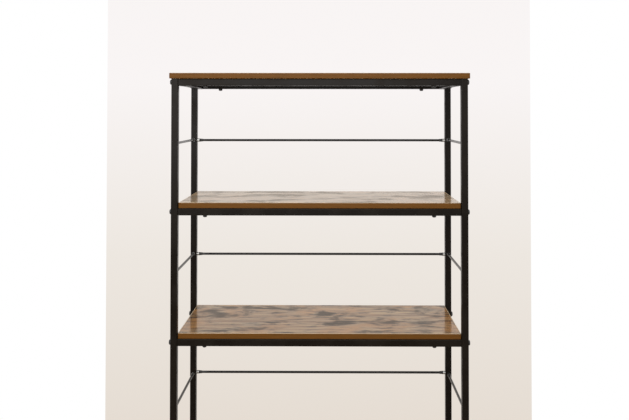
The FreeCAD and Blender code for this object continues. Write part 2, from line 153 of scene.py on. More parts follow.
class ShelfRod(PropertyGroup):
    """Smooth coat on the guard rods"""
    black: colour("Black", (0.011, 0.010, 0.010), "Colour of the rods")
    drawn: colour("Drawn", (0.022, 0.021, 0.021), "Colour of the faint lines left by drawing")
    line: length("Line", 0.0006, "Distance between those lines")
    line_length: length("Line length", 0.025, "Length of those lines")
    roughness: share("Roughness", 0.16, "Mean roughness of the rods")
    line_dulling: share("Line dulling", 0.08, "How much rougher those lines are")
    gloss: share("Gloss", 0.38, "Strength of the reflections in the rods")


class ShelfBoard(PropertyGroup):
    """Printed laminate of the boards"""
    tan: colour("Tan", (0.56, 0.355, 0.170), "Pale wood between the growth rings")
    brown: colour("Brown", (0.285, 0.138, 0.045), "Darker wood of the growth rings")
    honey: colour("Honey", (0.53, 0.24, 0.060), "Warm flush over parts of the board")
    grey: colour("Grey", (0.36, 0.255, 0.140), "Weathered grey over parts of the board")
    char: colour("Char", (0.036, 0.015, 0.006), "Dark smudges, cracks and knots")
    ring_length: length("Ring length", 0.35, "Length of the growth rings along the board")
    ring_width: length("Ring width", 0.021, "Width of the growth rings across the board")
    flush_size: length("Flush size", 0.11, "Size of the warm flushes")
    flush_strength: share("Flush strength", 0.8, "Strength of the warm flushes")
    grey_length: length("Grey length", 0.13, "Length of the weathered patches")
    grey_width: length("Grey width", 0.065, "Width of the weathered patches")
    grey_strength: share("Grey strength", 0.7, "Strength of the weathered patches")
    smudge_length: length("Smudge length", 0.09, "Length of the dark smudges")
    smudge_width: length("Smudge width", 0.062, "Width of the dark smudges")
    smudge_strength: share("Smudge strength", 0.9, "Strength of the dark smudges")
    burn_share: share("Burn share", 0.6, "Part of that strength which only the smudges' dark middles have")
    gathering: share("Gathering", 0.4, "How far the smudges gather in the weathered patches")
    combing: share("Combing", 0.42, "How far the streaks comb out the smudges along the grain")
    streak_length: length("Streak length", 0.05, "Length of the dark streaks along the grain")
    streak_width: length("Streak width", 0.014, "Width of those streaks")
    streak_strength: share("Streak strength", 0.5, "Strength of those streaks")
    fibre_length: length("Fibre length", 0.045, "Length of the fine fibres")
    fibre_width: length("Fibre width", 0.0013, "Width of the fine fibres")
    fibre_strength: share("Fibre strength", 0.25, "Strength of the fine fibres")
    fibre_dulling: share("Fibre dulling", 0.2, "How much rougher the fine fibres are")
    crack_length: length("Crack length", 0.16, "Length of the printed cracks")
    crack_width: length("Crack width", 0.012, "Distance between the printed cracks")
    crack_strength: share("Crack strength", 0.7, "Strength of the printed cracks")
    crack_depth: share("Crack depth", 0.8, "Depth of the cracks, as a share of the embossed pores'")
    knot_length: length("Knot length", 0.15, "Distance between the knots along the board")
    knot_width: length("Knot width", 0.07, "Distance between the knots across the board")
    knot_strength: share("Knot strength", 0.75, "Strength of the knots")
    plank_width: length("Plank width", 0.094, "Width of the printed planks")
    plank_strength: share("Plank strength", 0.25, "How much browner one plank can be than another")
    layer: length("Layer", 0.03, "Height over which the print changes, so that no two boards are alike")
    roughness: share("Roughness", 0.45, "Mean roughness of the print under its seal")
    gloss: share("Gloss", 0.1, "Strength of the reflections in the print under its seal")
    seal: FloatProperty(name="Seal", description="Refractive index of the clear seal", default=1.33, min=1)
    sheen: share("Sheen", 0.12, "Roughness of the seal")
    dulling: share("Dulling", 0.55, "How far the darkest smudges dull the seal")
    haze: share("Haze", 0.55, "Strength of the pale haze on the seal at low angles")
    haze_tint: colour("Haze tint", (1.0, 0.82, 0.56), "Colour of that haze")
    haze_spread: share("Haze spread", 0.2, "How far that haze reaches towards steeper angles")
    relief: length("Relief", 0.00006, "Depth of the embossed pores")


class ShelfBand(PropertyGroup):
    """Brown band round the boards' edges"""
    brown: colour("Brown", (0.180, 0.0745, 0.0140), "Colour of the band")
    streak: colour("Streak", (0.107, 0.0464, 0.0110), "Colour of its darker streaks")
    streak_length: length("Streak length", 0.07, "Length of the streaks along the edge")
    streak_height: length("Streak height", 0.0022, "Height of the streaks")
    streak_strength: share("Streak strength", 0.6, "Strength of the streaks")
    streak_dulling: share("Streak dulling", 0.08, "How much rougher the streaks are")
    streak_relief: length("Streak relief", 0.000022, "Depth of the streaks")
    # The paler colour on the band's upward-facing edge is a painted highlight, not worn or trimmed plastic
    edge_highlight: colour("Worn", (0.95, 0.76, 0.52), "Paler plastic along the trimmed upper edge")
    edge_highlight_strength: share("Worn strength", 0.8, "Strength of that paler plastic")
    roughness: share("Roughness", 0.42, "Mean roughness of the band")
    gloss: share("Gloss", 0.10, "Strength of the reflections in the band")


class ShelfFittings(PropertyGroup):
    """Small fittings: spacers, collars, bolts, screws, plugs and studs"""
    moulding: colour("Moulding", (0.017, 0.017, 0.018), "Black of the plugs, inserts and feet")
    moulding_shade: share("Moulding shade", 0.82, "Tone of the grain's hollows, as a share of the colour")
    moulding_roughness: share("Moulding roughness", 0.56, "Mean roughness of the mouldings")
    grain: length("Grain", 0.0007, "Size of the mouldings' surface grain")
    grain_dulling: share("Grain dulling", 0.12, "How much rougher that grain is than its hollows")
    grain_relief: length("Grain relief", 0.000028, "Height of that grain")
    collar: colour("Collar", (0.016, 0.015, 0.014), "Black of the collars")
    bolt: colour("Bolt", (0.012, 0.011, 0.011), "Black of the bolts")
    screw: colour("Screw", (0.014, 0.013, 0.012), "Black of the board screws")
    steel_roughness: share("Steel roughness", 0.40, "Roughness of the black steel")
    rubbed: colour("Rubbed", (0.060, 0.058, 0.055), "Colour of rubbed spots on the black steel")
    rub: length("Rub", 0.0035, "Size of those spots")
    rub_strength: share("Rub strength", 0.6, "Strength of those spots' colour")
    rub_metal: share("Rub metal", 0.5, "How far those spots bare the metal")
    rub_polish: share("Rub polish", 0.10, "How much smoother those spots are")
    zinc: colour("Zinc", (0.60, 0.60, 0.58), "Bright zinc of the spacers and studs")
    fog: colour("Fog", (0.33, 0.32, 0.30), "Duller zinc where the plate has aged")
    fog_size: length("Fog size", 0.004, "Size of the dull patches")
    fog_dulling: share("Fog dulling", 0.2, "How much rougher the dull patches are")
    zinc_roughness: share("Zinc roughness", 0.30, "Roughness of the bright zinc")


class ShelfWeld(PropertyGroup):
    """Weld beads between the rails"""
    radius: length("Radius", 0.0021, "Radius of a bead")
    ripple: length("Ripple", 0.0024, "Distance from one ripple to the next")
    waist: share("Waist", 0.78, "Girth between two ripples, as a share of the bead's")
    swell: share("Swell", 0.3, "Part of a ripple over which it swells")
    margin: length("Margin", 0.002, "Rounded edge of the tube that a bead leaves bare")
    sides: IntProperty(name="Sides", description="Sides of a bead's cross-section", default=12, min=6)


class ShelfFoot(PropertyGroup):
    """Moulded levelling feet and their studs"""
    ribs: IntProperty(name="Ribs", description="Grip ribs round the rim", default=20, min=3)
    rib_depth: length("Rib depth", 0.0007, "Depth of the grooves between the ribs")
    rib_margin: length("Rib margin", 0.0003, "Border of each groove")
    rim: length("Rim", 0.0046, "Height of the ribbed rim")
    neck: length("Neck", 0.00705, "Radius of the neck round the stud")
    bore: length("Bore", 0.00405, "Radius of the socket for the stud")
    socket: length("Socket", 0.008, "Depth of that socket")
    edge: length("Edge", 0.0006, "Rounding of the foot's edges")
    pitch: length("Pitch", 0.00125, "Pitch of the stud's thread")
    thread: length("Thread", 0.00068, "Depth of the stud's thread")
    steps: IntProperty(name="Steps", description="Sides of the stud", default=24, min=8)


class ShelfStage(PropertyGroup):
    """Paper, floor, softbox, room and camera"""
    paper_gap: length("Paper gap", 0.30, "Distance from the unit's back to the paper")
    paper_width: length("Paper width", 1.478, "Width of the paper")
    paper_height: length("Paper height", 2.4, "Height of the paper")
    paper_shift: FloatProperty(name="Paper shift", description="How far right of the middle it hangs",
                               default=-0.013, unit="LENGTH")
    # The paper's three colours are painted light: brightest above the unit, darker and warmer towards the
    # floor
    paper_lit_high: colour("Paper, high", (0.945, 0.910, 0.905), "Colour of the paper above the unit")
    paper_lit_middle: colour("Paper, middle", (0.847, 0.799, 0.745), "Colour of the paper half way up")
    paper_shaded_low: colour("Paper, low", (0.783, 0.716, 0.645), "Colour of the paper at the floor")
    floor_size: length("Floor size", 9.0, "Width of the floor")
    floor: colour("Floor", (0.56, 0.46, 0.345), "Floor in the light that it throws back")
    floor_seen: colour("Floor, seen", (0.79, 0.71, 0.62), "Pale floor that the camera and mirrors see")
    floor_roughness: share("Floor roughness", 0.7, "Roughness of the floor")
    mottle: share("Mottle", 0.05, "Strength of the floor's darker patches")
    mottle_size: length("Mottle size", 0.25, "Size of those patches")
    room_high: colour("Room, high", (0.53, 0.53, 0.55), "Light of the room from above")
    room_low: colour("Room, low", (0.16, 0.135, 0.095), "Light of the room from the sides and below")
    room_back: colour("Room, back", (0.86, 0.81, 0.76), "Light of the room from behind the unit")
    room_seen: colour("Room, seen", (1.0, 1.0, 1.0), "White room that the camera and mirrors see")
    key_power: FloatProperty(name="Key", description="Power of the softbox in front", default=18.5,
                             min=0, unit="POWER")
    key_size: length("Key size", 1.6, "Width of that softbox")
    key_place: FloatVectorProperty(name="Key place", description="Where the softbox hangs",
                                   default=(-0.25, -1.5, 1.5), subtype="TRANSLATION", unit="LENGTH")
    camera_place: FloatVectorProperty(name="Camera", description="Where the camera stands",
                                      default=(0.0295, -2.0403, 1.0950), subtype="TRANSLATION",
                                      unit="LENGTH")
    camera_tilt: FloatProperty(name="Tilt", description="Upward tilt of the camera", default=0.0190,
                               subtype="ANGLE")
    camera_roll: FloatProperty(name="Roll", description="Roll of the camera", default=-0.0006,
                               subtype="ANGLE")
    camera_turn: FloatProperty(name="Turn", description="Turn of the camera to the left", default=0.006,
                               subtype="ANGLE")


class ShelfUnit(PropertyGroup):
    """All settings of the shelf unit"""
    coat: PointerProperty(type=ShelfCoat, name="Powder coat")
    rod: PointerProperty(type=ShelfRod, name="Rods")
    board: PointerProperty(type=ShelfBoard, name="Boards")
    band: PointerProperty(type=ShelfBand, name="Edge band")
    fittings: PointerProperty(type=ShelfFittings, name="Fittings")
    weld: PointerProperty(type=ShelfWeld, name="Welds")
    foot: PointerProperty(type=ShelfFoot, name="Feet")
    stage: PointerProperty(type=ShelfStage, name="Stage")


# Shader nodes

class Wire:
    """An output of a node. In a sum it stands for the number that it carries."""

    def __init__(self, shading, socket):
        self.shading = shading
        self.socket = socket

    def maths(self, operation, *values):
        return self.shading.node("ShaderNodeMath", {"operation": operation}, dict(enumerate(values)))

    def __add__(self, other):
        return self.maths("ADD", self, other)

    def __sub__(self, other):
        return self.maths("SUBTRACT", self, other)

    def __rsub__(self, other):
        return self.maths("SUBTRACT", other, self)

    def __mul__(self, other):
        return self.maths("MULTIPLY", self, other)

    def __abs__(self):
        return self.maths("ABSOLUTE", self)

    __radd__ = __add__
    __rmul__ = __mul__


class Shading:
    """The nodes of one material or world, added one call at a time."""

    def __init__(self, owner):
        owner.use_nodes = True
        self.owner = owner
        self.tree = owner.node_tree
        self.tree.nodes.clear()

    def node(self, kind, settings=None, inputs=None, output=0):
        """Adds a node, sets it up, gives its inputs numbers or wires, and returns one of its outputs."""
        made = self.tree.nodes.new(kind)
        for name, value in (settings or {}).items():
            setattr(made, name, value)
        for name, value in (inputs or {}).items():
            socket = made.inputs[name]
            if isinstance(value, Wire):
                self.tree.links.new(value.socket, socket)
            else:
                socket.default_value = (*value, 1) if socket.type == "RGBA" else value
        return Wire(self, made.outputs[output]) if made.outputs else None

    def place(self):
        return self.node("ShaderNodeTexCoord", output="Object")

    def axis(self, place, name):
        return self.node("ShaderNodeSeparateXYZ", inputs={0: place}, output=name)

    def stretch(self, place, sizes, offset=0):
        """Coordinates that grow by 1 over each of the given sizes along X, Y and Z."""
        scale = [1 / size for size in sizes]
        return self.node("ShaderNodeVectorMath", {"operation": "MULTIPLY_ADD"},
                         {0: place, 1: scale, 2: [offset] * 3})

    def noise(self, place, sizes, **inputs):
        """Noise whose lumps have the given sizes along X, Y and Z."""
        return self.node("ShaderNodeTexNoise",
                         inputs={"Vector": self.stretch(place, sizes), "Scale": 1, **inputs})

    def rise(self, value, low, high, shape="SMOOTHSTEP"):
        """0 below low, 1 above high and a rise between them, smooth unless the shape says LINEAR."""
        return self.node("ShaderNodeMapRange", {"interpolation_type": shape},
                         {"Value": value, "From Min": low, "From Max": high})

    def blend(self, amount, first, second):
        """Mixes two colours, through the node's sockets for colours."""
        return self.node("ShaderNodeMix", {"data_type": "RGBA"}, {0: amount, 6: first, 7: second}, output=2)

    def bump(self, height, relief):
        return self.node("ShaderNodeBump", inputs={"Height": height, "Distance": relief})

    def surface(self, **inputs):
        """Ends the material in a surface; an input's spaces are written as underscores."""
        named = {name.replace("_", " "): value for name, value in inputs.items()}
        self.end(self.node("ShaderNodeBsdfPrincipled", inputs=named))
        return self.owner

    def end(self, shader, kind="ShaderNodeOutputMaterial"):
        self.node(kind, inputs={"Surface": shader})
        return self.owner

    def seen_directly(self):
        """1 for the camera, mirrors and glass, 0 for the light that falls on the object."""
        camera, glossy, glass = (self.node("ShaderNodeLightPath", output=ray)
                                 for ray in ("Is Camera Ray", "Is Glossy Ray", "Is Transmission Ray"))
        return camera.maths("MAXIMUM", camera, glossy.maths("MAXIMUM", glossy, glass))


def finish(name, maker, *looks):
    """The named material, made on its first use."""
    return bpy.data.materials.get(name) or maker(Shading(bpy.data.materials.new(name)), *looks)


# Finishes

def powder_coat(paint, look):
    """Fine-textured satin black with soft greyer patches."""
    place = paint.place()
    patches = paint.rise(paint.noise(place, [look.cloud] * 3, Detail=4), *COAT_PATCHES)
    pimples = paint.noise(place, [look.pimple] * 3, Detail=1)
    return paint.surface(
        Base_Color=paint.blend(patches, look.black, look.bloom),
        Roughness=(look.roughness + look.patch_dulling * (patches - MIDDLE)
                   + look.pimple_dulling * (pimples - MIDDLE)),
        Specular_IOR_Level=look.gloss,
        Normal=paint.bump(pimples, look.relief))


def smooth_rod(paint, look):
    """Smooth glossy black with faint lines along a rod, whichever way the rod runs."""
    place = paint.place()
    along_x = paint.noise(place, (look.line_length, look.line, look.line), Detail=2)
    along_y = paint.noise(place, (look.line, look.line_length, look.line), Detail=2)
    lines = paint.rise(along_x * along_y, *ROD_LINES)
    return paint.surface(
        Base_Color=paint.blend(lines, look.black, look.drawn),
        Roughness=look.roughness + look.line_dulling * (lines - MIDDLE),
        Specular_IOR_Level=look.gloss)


def rustic_laminate(paint, look):
    """Printed reclaimed wood under a satin seal: rings, fibres, smudges, cracks, knots and planks."""
    place = paint.place()
    rings = paint.noise(place, (look.ring_length, look.ring_width, look.layer), Detail=4, Distortion=0.5)
    flush = paint.noise(place, (look.flush_size, look.flush_size, look.layer), Detail=2)
    weather = paint.noise(place, (look.grey_length, look.grey_width, look.layer), Detail=3, Distortion=0.4)
    fibres = paint.noise(place, (look.fibre_length, look.fibre_width, look.layer), Detail=2)
    smoke = paint.noise(place, (look.smudge_length, look.smudge_width, look.layer),
                        Detail=6, Roughness=0.62, Distortion=0.6)
    streaks = paint.noise(place, (look.streak_length, look.streak_width, look.layer), Detail=4)
    seams = paint.noise(place, (look.crack_length, look.crack_width, look.layer), Detail=2, Distortion=0.3)
    knot_place = paint.stretch(place, (look.knot_length, look.knot_width, look.layer))
    knots = paint.node("ShaderNodeTexVoronoi", inputs={"Vector": knot_place, "Scale": 1}, output="Distance")
    planks = paint.node("ShaderNodeVectorMath", {"operation": "FLOOR"},
                        {0: paint.stretch(place, (1 / NEAR, look.plank_width, look.layer), offset=0.5)})
    plank_tone = paint.node("ShaderNodeTexWhiteNoise", inputs={"Vector": planks})

    stain = smoke + look.combing * (streaks - MIDDLE) + look.gathering * (weather - MIDDLE)
    burns = paint.rise(stain, *BURNS)
    smudges = (1 - look.burn_share) * paint.rise(stain, *SMUDGES) + look.burn_share * burns
    cracks = (1 - paint.rise(abs(seams - MIDDLE), *CRACKS)) * paint.rise(flush, *CRACKED_PARTS)
    wood = paint.blend(paint.rise(rings, *RINGS), look.brown, look.tan)
    layers = (
        (look.flush_strength, paint.rise(flush, *FLUSHES), look.honey),
        (look.grey_strength, paint.rise(weather, *WEATHERED), look.grey),
        (look.plank_strength, plank_tone, look.brown),
        (look.fibre_strength, paint.rise(fibres, *DARK_FIBRES), look.char),
        (look.streak_strength, paint.rise(streaks, *DARK_STREAKS), look.char),
        (look.smudge_strength, smudges, look.char),
        (look.crack_strength, cracks, look.char),
        (look.knot_strength, 1 - paint.rise(knots, *KNOTS), look.char))
    for strength, marks, tint in layers:
        wood = paint.blend(strength * marks, wood, tint)
    return paint.surface(
        Base_Color=wood,
        Roughness=look.roughness + look.fibre_dulling * (fibres - MIDDLE),
        Specular_IOR_Level=look.gloss,
        Coat_Weight=1 - look.dulling * burns,
        Coat_IOR=look.seal,
        Coat_Roughness=look.sheen,
        Sheen_Weight=look.haze,
        Sheen_Roughness=look.haze_spread,
        Sheen_Tint=look.haze_tint,
        Normal=paint.bump(fibres - look.crack_depth * cracks, look.relief))


def edge_band(paint, look):
    """Plain brown plastic with faint streaks along the edge, and a painted highlight along its rounded
    upper edge.
    """
    place = paint.place()
    slope = paint.axis(paint.node("ShaderNodeNewGeometry", output="Normal"), "Z")
    # Upward-facing parts of the band, where the highlight is painted
    highlit = paint.rise(slope, *EDGE_HIGHLIGHT)
    streaks = paint.noise(place, (look.streak_length, look.streak_length, look.streak_height), Detail=3)
    streaks = paint.rise(streaks, *BAND_STREAKS)
    tint = paint.blend(look.streak_strength * streaks, look.brown, look.streak)
    return paint.surface(
        Base_Color=paint.blend(look.edge_highlight_strength * highlit, tint, look.edge_highlight),
        Roughness=look.roughness + look.streak_dulling * (streaks - MIDDLE),
        Specular_IOR_Level=look.gloss,
        Normal=paint.bump(streaks, look.streak_relief))


def moulded_plastic(paint, look, tint):
    """Matt moulded plastic with a fine spark-eroded grain."""
    place = paint.place()
    grain = paint.noise(place, [look.grain] * 3, Detail=2)
    # The grain's hollows are painted darker than its tops: painted shade
    shade = [look.moulding_shade * part for part in tint]
    return paint.surface(
        Base_Color=paint.blend(paint.rise(grain, *MOULDED_GRAIN), shade, tint),
        Roughness=look.moulding_roughness + look.grain_dulling * (grain - MIDDLE),
        Normal=paint.bump(grain, look.grain_relief))


def blackened_steel(paint, look, tint):
    """Black-finished steel with a few rubbed spots."""
    place = paint.place()
    rub = paint.rise(paint.noise(place, [look.rub] * 3, Detail=5), *RUBBED_SPOTS)
    return paint.surface(
        Base_Color=paint.blend(look.rub_strength * rub, tint, look.rubbed),
        Metallic=look.rub_metal * rub,
        Roughness=look.steel_roughness - look.rub_polish * rub)


def zinc_plate(paint, look):
    """Bright zinc with dull patches."""
    place = paint.place()
    fog = paint.rise(paint.noise(place, [look.fog_size] * 3, Detail=4), *ZINC_FOG)
    return paint.surface(
        Base_Color=paint.blend(fog, look.zinc, look.fog),
        Metallic=1,
        Roughness=look.zinc_roughness + look.fog_dulling * fog)


def dress(slot, material):
    """Gives the material to every CAD node of one of the record's slots."""
    for subpart in frame["record"]["subparts"]:
        if subpart["material_slot"] == slot:
            frame["nodes"][subpart["node"]].material_slots[0].material = material


# Modelling by hand

def start_object():
    """Nothing selected, so that the next operator works on the new piece alone."""
    bpy.ops.object.select_all(action="DESELECT")


def start_edit():
    """Edit mode, with the place of the new primitive in its mesh."""
    bpy.ops.object.transform_apply(location=True, rotation=True, scale=True)
    bpy.ops.object.mode_set(mode="EDIT")


def select(kind, chosen):
    """In edit mode, selects the vertices, edges or faces that chosen picks."""
    bpy.ops.mesh.select_mode(type=kind)
    bpy.ops.mesh.select_all(action="DESELECT")
    mesh = bmesh.from_edit_mesh(bpy.context.object.data)
    for item in {"VERT": mesh.verts, "EDGE": mesh.edges, "FACE": mesh.faces}[kind]:
        item.select_set(chosen(item))
    bmesh.update_edit_mesh(bpy.context.object.data)


def end_edit(name):
    """Closes a piece: faces outwards, rounded shading, and its name."""
    bpy.ops.mesh.select_all(action="SELECT")
    bpy.ops.mesh.normals_make_consistent(inside=False)
    bpy.ops.object.mode_set(mode="OBJECT")
    bpy.ops.object.shade_smooth_by_angle(angle=SMOOTH_ANGLE)
    piece = bpy.context.object
    piece.name = name
    return piece


def extrude_up(height, girth=1):
    """Extrudes the selected face along Z and scales its far end about the Z axis."""
    bpy.ops.mesh.extrude_region_move(TRANSFORM_OT_translate={"value": (0, 0, height)})
    bpy.ops.transform.resize(value=(girth, girth, 1), center_override=(0, 0, 0))


def copy_to(pattern, spot, name, turn=(0, 0, 0)):
    """A copy of the pattern with its own mesh, turned and moved to a spot."""
    start_object()
    pattern.select_set(True)
    bpy.context.view_layer.objects.active = pattern
    bpy.ops.object.duplicate()
    piece = bpy.context.object
    piece.name = name
    piece.rotation_euler = turn
    piece.location = spot
    bpy.ops.object.transform_apply(location=True, rotation=True, scale=True)
    return piece


def settle(piece, body, material):
    """Gives a finished piece its material and slot, and lets it ride on its body."""
    piece.data.materials.clear()
    piece.data.materials.append(material)
    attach(piece, body)


def stand_in_corners(pattern, name, plain, material):
    """Puts a copy of the pattern in place of the plain solid in each corner, on that corner's foot."""
    for end, side in CORNERS:
        node = f"{plain}_{end}_{side}"
        low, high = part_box(node)
        spot = ((low.x + high.x) / 2, (low.y + high.y) / 2, low.z)
        piece = copy_to(pattern, spot, f"{name}_{end}_{side}")
        settle(piece, f"foot_{end}_{side}", material)
        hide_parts(node)
    bpy.data.objects.remove(pattern)


def model_bead(look, span):
    """A weld bead along Z, centred on the origin: a row of ripples that swell quickly and fall slowly."""
    start_object()
    bpy.ops.mesh.primitive_circle_add(vertices=look.sides, radius=look.radius * look.waist,
                                      fill_type="NGON", location=(0, 0, -span / 2))
    start_edit()
    bpy.ops.mesh.select_all(action="SELECT")
    ripples = max(1, round(span / look.ripple))
    pitch = span / ripples
    for _ in range(ripples):
        extrude_up(pitch * look.swell, 1 / look.waist)
        extrude_up(pitch * (1 - look.swell), look.waist)
    return end_edit("bead_pattern")


def bead_spots(look, level):
    """Where the beads of one level lie: in each inner corner of the rails, and under each joint."""
    spots = []
    for end, side in CORNERS:
        long_box, short_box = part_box(f"rail_{end}_{level}"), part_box(f"rail_{side}_{level}")
        inner_y = long_box[1].y if end == "front" else long_box[0].y
        inner_x = short_box[1].x if side == "left" else short_box[0].x
        middle = (short_box[0] + short_box[1]) / 2
        underside = short_box[0].z + look.margin / 2
        spots.append(((inner_x, inner_y, middle.z), (0, 0, 0)))
        spots.append(((middle.x, inner_y, underside), (0, math.pi / 2, 0)))
    return spots


def model_foot(look, radius, height):
    """A levelling foot on the origin: a ribbed rim, a tapered shoulder and a socket for the stud."""
    faces = 2 * look.ribs
    start_object()
    bpy.ops.mesh.primitive_cylinder_add(vertices=faces, radius=radius, depth=look.rim,
                                        location=(0, 0, look.rim / 2))
    start_edit()
    select("FACE", lambda face: face.normal.z > UPWARD)
    extrude_up(height - look.rim, look.neck / radius)
    bpy.ops.mesh.inset(thickness=look.neck - look.bore)
    extrude_up(-look.socket)
    rounded = (0, look.rim, height)

    def outer_edge(edge):
        start, end = (vertex.co for vertex in edge.verts)
        level = abs(start.z - end.z) < NEAR and min(abs(start.z - z) for z in rounded) < NEAR
        return level and start.xy.length > (look.neck + look.bore) / 2

    select("EDGE", outer_edge)
    bpy.ops.mesh.bevel(offset=look.edge, segments=3, affect="EDGES")

    def groove(face):
        centre = face.calc_center_median()
        turn = math.atan2(centre.y, centre.x) / math.tau
        on_rim = abs(face.normal.z) < NEAR and centre.xy.length > look.neck
        tall = face.calc_area() > (look.rim - 3 * look.edge) * radius * math.tau / faces
        return on_rim and tall and int(turn * faces + faces) % 2 == 1

    select("FACE", groove)
    bpy.ops.mesh.inset(thickness=look.rib_margin, depth=-look.rib_depth, use_individual=True)
    return end_edit("foot_pattern")


def model_stud(look, radius, span):
    """A threaded stud on the origin, along Z, cut flat at both ends."""
    root = radius - look.thread
    turns = math.ceil(span / look.pitch) + SPARE_TURNS
    start_object()
    bpy.ops.mesh.primitive_circle_add(vertices=4, radius=look.thread, location=(root, 0, -look.pitch),
                                      rotation=(math.pi / 2, 0, 0))
    start_edit()
    bpy.ops.transform.resize(value=(1, 1, look.pitch / 2 / look.thread),
                             center_override=(root, 0, -look.pitch))
    select("VERT", lambda vertex: vertex.co.x < root - NEAR)
    bpy.ops.mesh.delete(type="VERT")
    bpy.ops.object.mode_set(mode="OBJECT")
    thread = bpy.context.object.modifiers.new("thread", "SCREW")
    thread.axis = "Z"
    thread.steps = thread.render_steps = look.steps
    thread.iterations = turns
    thread.screw_offset = look.pitch
    bpy.ops.object.modifier_apply(modifier=thread.name)
    bpy.ops.object.mode_set(mode="EDIT")
    bpy.ops.mesh.select_all(action="SELECT")
    bpy.ops.mesh.remove_doubles(threshold=NEAR)
    bpy.ops.mesh.bisect(plane_co=(0, 0, 0), plane_no=(0, 0, 1), use_fill=True, clear_inner=True)
    bpy.ops.mesh.select_all(action="SELECT")
    bpy.ops.mesh.bisect(plane_co=(0, 0, span), plane_no=(0, 0, 1), use_fill=True, clear_outer=True)
    return end_edit("stud_pattern")


# Operators, in the order in which main calls them

class SHELF_OT_coat_frame(Operator):
    """Coats the posts and rails"""
    bl_idname = "shelf_unit.coat_frame"
    bl_label = "Coat posts and rails"

    def execute(self, context):
        dress("frame_steel", finish("powder_coat", powder_coat, context.scene.shelf_unit.coat))
        return {"FINISHED"}


class SHELF_OT_coat_rods(Operator):
    """Coats the guard rods"""
    bl_idname = "shelf_unit.coat_rods"
    bl_label = "Coat rods"

    def execute(self, context):
        dress("rod_steel", finish("smooth_rod", smooth_rod, context.scene.shelf_unit.rod))
        return {"FINISHED"}


class SHELF_OT_print_boards(Operator):
    """Gives the boards their printed laminate"""
    bl_idname = "shelf_unit.print_boards"
    bl_label = "Print boards"

    def execute(self, context):
        look = context.scene.shelf_unit.board
        dress("rustic_laminate", finish("printed_laminate", rustic_laminate, look))
        return {"FINISHED"}


class SHELF_OT_band_boards(Operator):
    """Colours the bands round the boards"""
    bl_idname = "shelf_unit.band_boards"
    bl_label = "Band boards"

    def execute(self, context):
        dress("brown_edge_band", finish("edge_band", edge_band, context.scene.shelf_unit.band))
        return {"FINISHED"}


class SHELF_OT_finish_rod_ends(Operator):
    """Colours the spacers and collars on the rod ends"""
    bl_idname = "shelf_unit.finish_rod_ends"
    bl_label = "Finish rod ends"

    def execute(self, context):
        look = context.scene.shelf_unit.fittings
        dress("spacer_zinc", finish("zinc_plate", zinc_plate, look))
        dress("collar_steel", finish("black_collar", blackened_steel, look, look.collar))
        return {"FINISHED"}


class SHELF_OT_blacken_fasteners(Operator):
    """Blackens the bolts and the board screws"""
    bl_idname = "shelf_unit.blacken_fasteners"
    bl_label = "Blacken bolts and screws"

    def execute(self, context):
        look = context.scene.shelf_unit.fittings
        dress("bolt_steel", finish("black_bolt", blackened_steel, look, look.bolt))
        dress("screw_steel", finish("black_screw", blackened_steel, look, look.screw))
        return {"FINISHED"}


class SHELF_OT_finish_plugs(Operator):
    """Colours the plugs in the posts and the inserts in the rails"""
    bl_idname = "shelf_unit.finish_plugs"
    bl_label = "Finish plugs and inserts"

    def execute(self, context):
        look = context.scene.shelf_unit.fittings
        for slot in ("plug_plastic", "insert_nylon"):
            dress(slot, finish("black_moulding", moulded_plastic, look, look.moulding))
        return {"FINISHED"}


class SHELF_OT_weld_rails(Operator):
    """Lays the weld beads that join the rails of each level"""
    bl_idname = "shelf_unit.weld_rails"
    bl_label = "Weld rails"

    def execute(self, context):
        settings = context.scene.shelf_unit
        rail_low, rail_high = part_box("rail_left_1")
        pattern = model_bead(settings.weld, rail_high.z - rail_low.z - 2 * settings.weld.margin)
        for level in LEVELS:
            beads = [copy_to(pattern, spot, f"rail_welds_{level}", turn)
                     for spot, turn in bead_spots(settings.weld, level)]
            for bead in beads:
                bead.select_set(True)
            bpy.ops.object.join()
            welds = bpy.context.object
            welds.name = f"rail_welds_{level}"
            settle(welds, "frame", finish("powder_coat", powder_coat, settings.coat))
        bpy.data.objects.remove(pattern)
        return {"FINISHED"}


class SHELF_OT_mould_feet(Operator):
    """Models the moulded levelling feet in place of their plain solids"""
    bl_idname = "shelf_unit.mould_feet"
    bl_label = "Mould feet"

    def execute(self, context):
        settings = context.scene.shelf_unit
        low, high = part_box("foot_pad_front_left")
        pattern = model_foot(settings.foot, (high.x - low.x) / 2, high.z - low.z)
        material = finish("black_moulding", moulded_plastic, settings.fittings, settings.fittings.moulding)
        stand_in_corners(pattern, "ribbed_foot", "foot_pad", material)
        return {"FINISHED"}


class SHELF_OT_thread_studs(Operator):
    """Models the threaded studs in place of their plain solids"""
    bl_idname = "shelf_unit.thread_studs"
    bl_label = "Thread studs"

    def execute(self, context):
        settings = context.scene.shelf_unit
        low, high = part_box("foot_stud_front_left")
        pattern = model_stud(settings.foot, (high.x - low.x) / 2, high.z - low.z)
        material = finish("zinc_plate", zinc_plate, settings.fittings)
        stand_in_corners(pattern, "threaded_stud", "foot_stud", material)
        return {"FINISHED"}


class SHELF_OT_set_stage(Operator):
    """Sets up the paper, the floor, the light and the camera"""
    bl_idname = "shelf_unit.set_stage"
    bl_label = "Set stage"

    def execute(self, context):
        look = context.scene.shelf_unit.stage
        add_paper(look)
        add_floor(look)
        add_light(look)
        add_camera(look)
        context.scene.view_settings.view_transform = "Standard"
        return {"FINISHED"}


